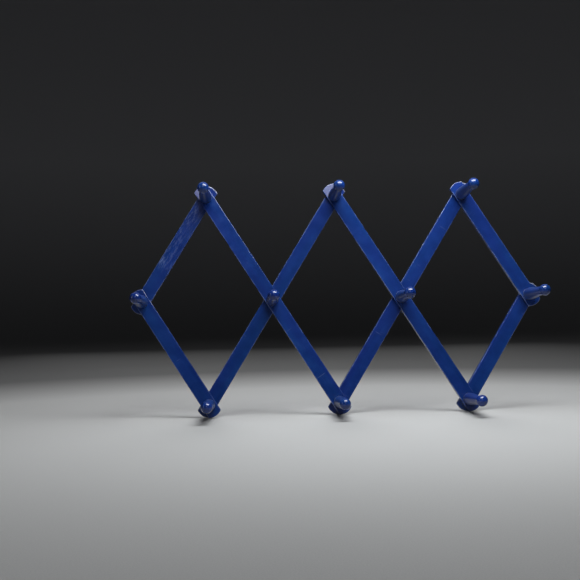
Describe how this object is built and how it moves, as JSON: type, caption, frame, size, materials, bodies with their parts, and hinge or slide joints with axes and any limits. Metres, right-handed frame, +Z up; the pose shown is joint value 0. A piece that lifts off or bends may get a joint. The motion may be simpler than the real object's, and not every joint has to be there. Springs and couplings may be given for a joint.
{
  "type": "accordion peg rack",
  "caption": "Expanding accordion wall rack: flat wooden slats cross in diamonds and pivot on turned ball-ended pegs, all in blue gloss paint; folds flat or widens.",
  "frame": {"origin": "on the wall, in the plane of the screw heads, behind the lower middle peg", "axes": "+X along the rack to the right as seen from the front, +Y into the wall, +Z up; the pegs point along -Y"},
  "size_m": [0.5422, 0.0922, 0.3057],
  "materials": {
    "front_slats": "deep blue gloss enamel on wood",
    "back_slats": "deep blue gloss enamel on wood",
    "pegs": "deep blue gloss enamel on turned wood",
    "washers": "zinc plated",
    "screws": "zinc plated"
  },
  "bodies": {
    "lower_middle_peg": {"peg_low_2": "pegs", "washer_low_2": "washers", "screw_low_2": "screws"},
    "front_arm_1": {"front_slat_1": "front_slats"},
    "front_arm_2": {"front_slat_2": "front_slats"},
    "front_arm_3": {"front_slat_3": "front_slats"},
    "front_arm_4": {"front_slat_4": "front_slats"},
    "back_arm_1": {"back_slat_1": "back_slats", "peg_mid_1": "pegs", "washer_mid_1": "washers", "screw_mid_1": "screws", "peg_top_1": "pegs", "washer_top_1": "washers", "screw_top_1": "screws"},
    "back_arm_2": {"back_slat_2": "back_slats", "peg_low_1": "pegs", "washer_low_1": "washers", "screw_low_1": "screws", "peg_mid_2": "pegs", "washer_mid_2": "washers", "screw_mid_2": "screws", "peg_top_2": "pegs", "washer_top_2": "washers", "screw_top_2": "screws"},
    "back_arm_3": {"back_slat_3": "back_slats", "peg_mid_3": "pegs", "washer_mid_3": "washers", "screw_mid_3": "screws", "peg_top_3": "pegs", "washer_top_3": "washers", "screw_top_3": "screws"},
    "back_arm_4": {"back_slat_4": "back_slats", "peg_low_3": "pegs", "washer_low_3": "washers", "screw_low_3": "screws", "peg_mid_4": "pegs", "washer_mid_4": "washers", "screw_mid_4": "screws"}
  },
  "joints": [
    {"name": "fold", "type": "hinge", "parent": "lower_middle_peg", "child": "front_arm_2", "pos_m": [0, 0, 0], "axis": [0, 1, 0], "range_deg": [-50, 28]},
    {"name": "fold_low_2_back", "type": "hinge", "parent": "lower_middle_peg", "child": "back_arm_3", "pos_m": [0, 0, 0], "axis": [0, 1, 0], "range_deg": [-28, 50]},
    {"name": "fold_mid_2", "type": "hinge", "parent": "front_arm_2", "child": "back_arm_2", "pos_m": [-0.08532, 0, 0.13654], "axis": [0, 1, 0], "range_deg": [-56, 100]},
    {"name": "fold_mid_3", "type": "hinge", "parent": "back_arm_3", "child": "front_arm_3", "pos_m": [0.08532, 0, 0.13654], "axis": [0, 1, 0], "range_deg": [-100, 56]},
    {"name": "fold_top_1", "type": "hinge", "parent": "front_arm_2", "child": "back_arm_1", "pos_m": [-0.17063, 0, 0.27307], "axis": [0, 1, 0], "range_deg": [-56, 100]},
    {"name": "fold_top_3", "type": "hinge", "parent": "back_arm_3", "child": "front_arm_4", "pos_m": [0.17063, 0, 0.27307], "axis": [0, 1, 0], "range_deg": [-100, 56]},
    {"name": "fold_low_1", "type": "hinge", "parent": "back_arm_2", "child": "front_arm_1", "pos_m": [-0.17063, 0, 0], "axis": [0, 1, 0], "range_deg": [-100, 56]},
    {"name": "fold_low_3", "type": "hinge", "parent": "front_arm_3", "child": "back_arm_4", "pos_m": [0.17063, 0, 0], "axis": [0, 1, 0], "range_deg": [-56, 100]}
  ],
  "couplings": [
    {"joint": "fold_low_2_back", "follows": "fold", "ratio": -1},
    {"joint": "fold_mid_2", "follows": "fold", "ratio": -2},
    {"joint": "fold_mid_3", "follows": "fold", "ratio": 2},
    {"joint": "fold_top_1", "follows": "fold", "ratio": -2},
    {"joint": "fold_top_3", "follows": "fold", "ratio": 2},
    {"joint": "fold_low_1", "follows": "fold", "ratio": 2},
    {"joint": "fold_low_3", "follows": "fold", "ratio": -2}
  ]
}
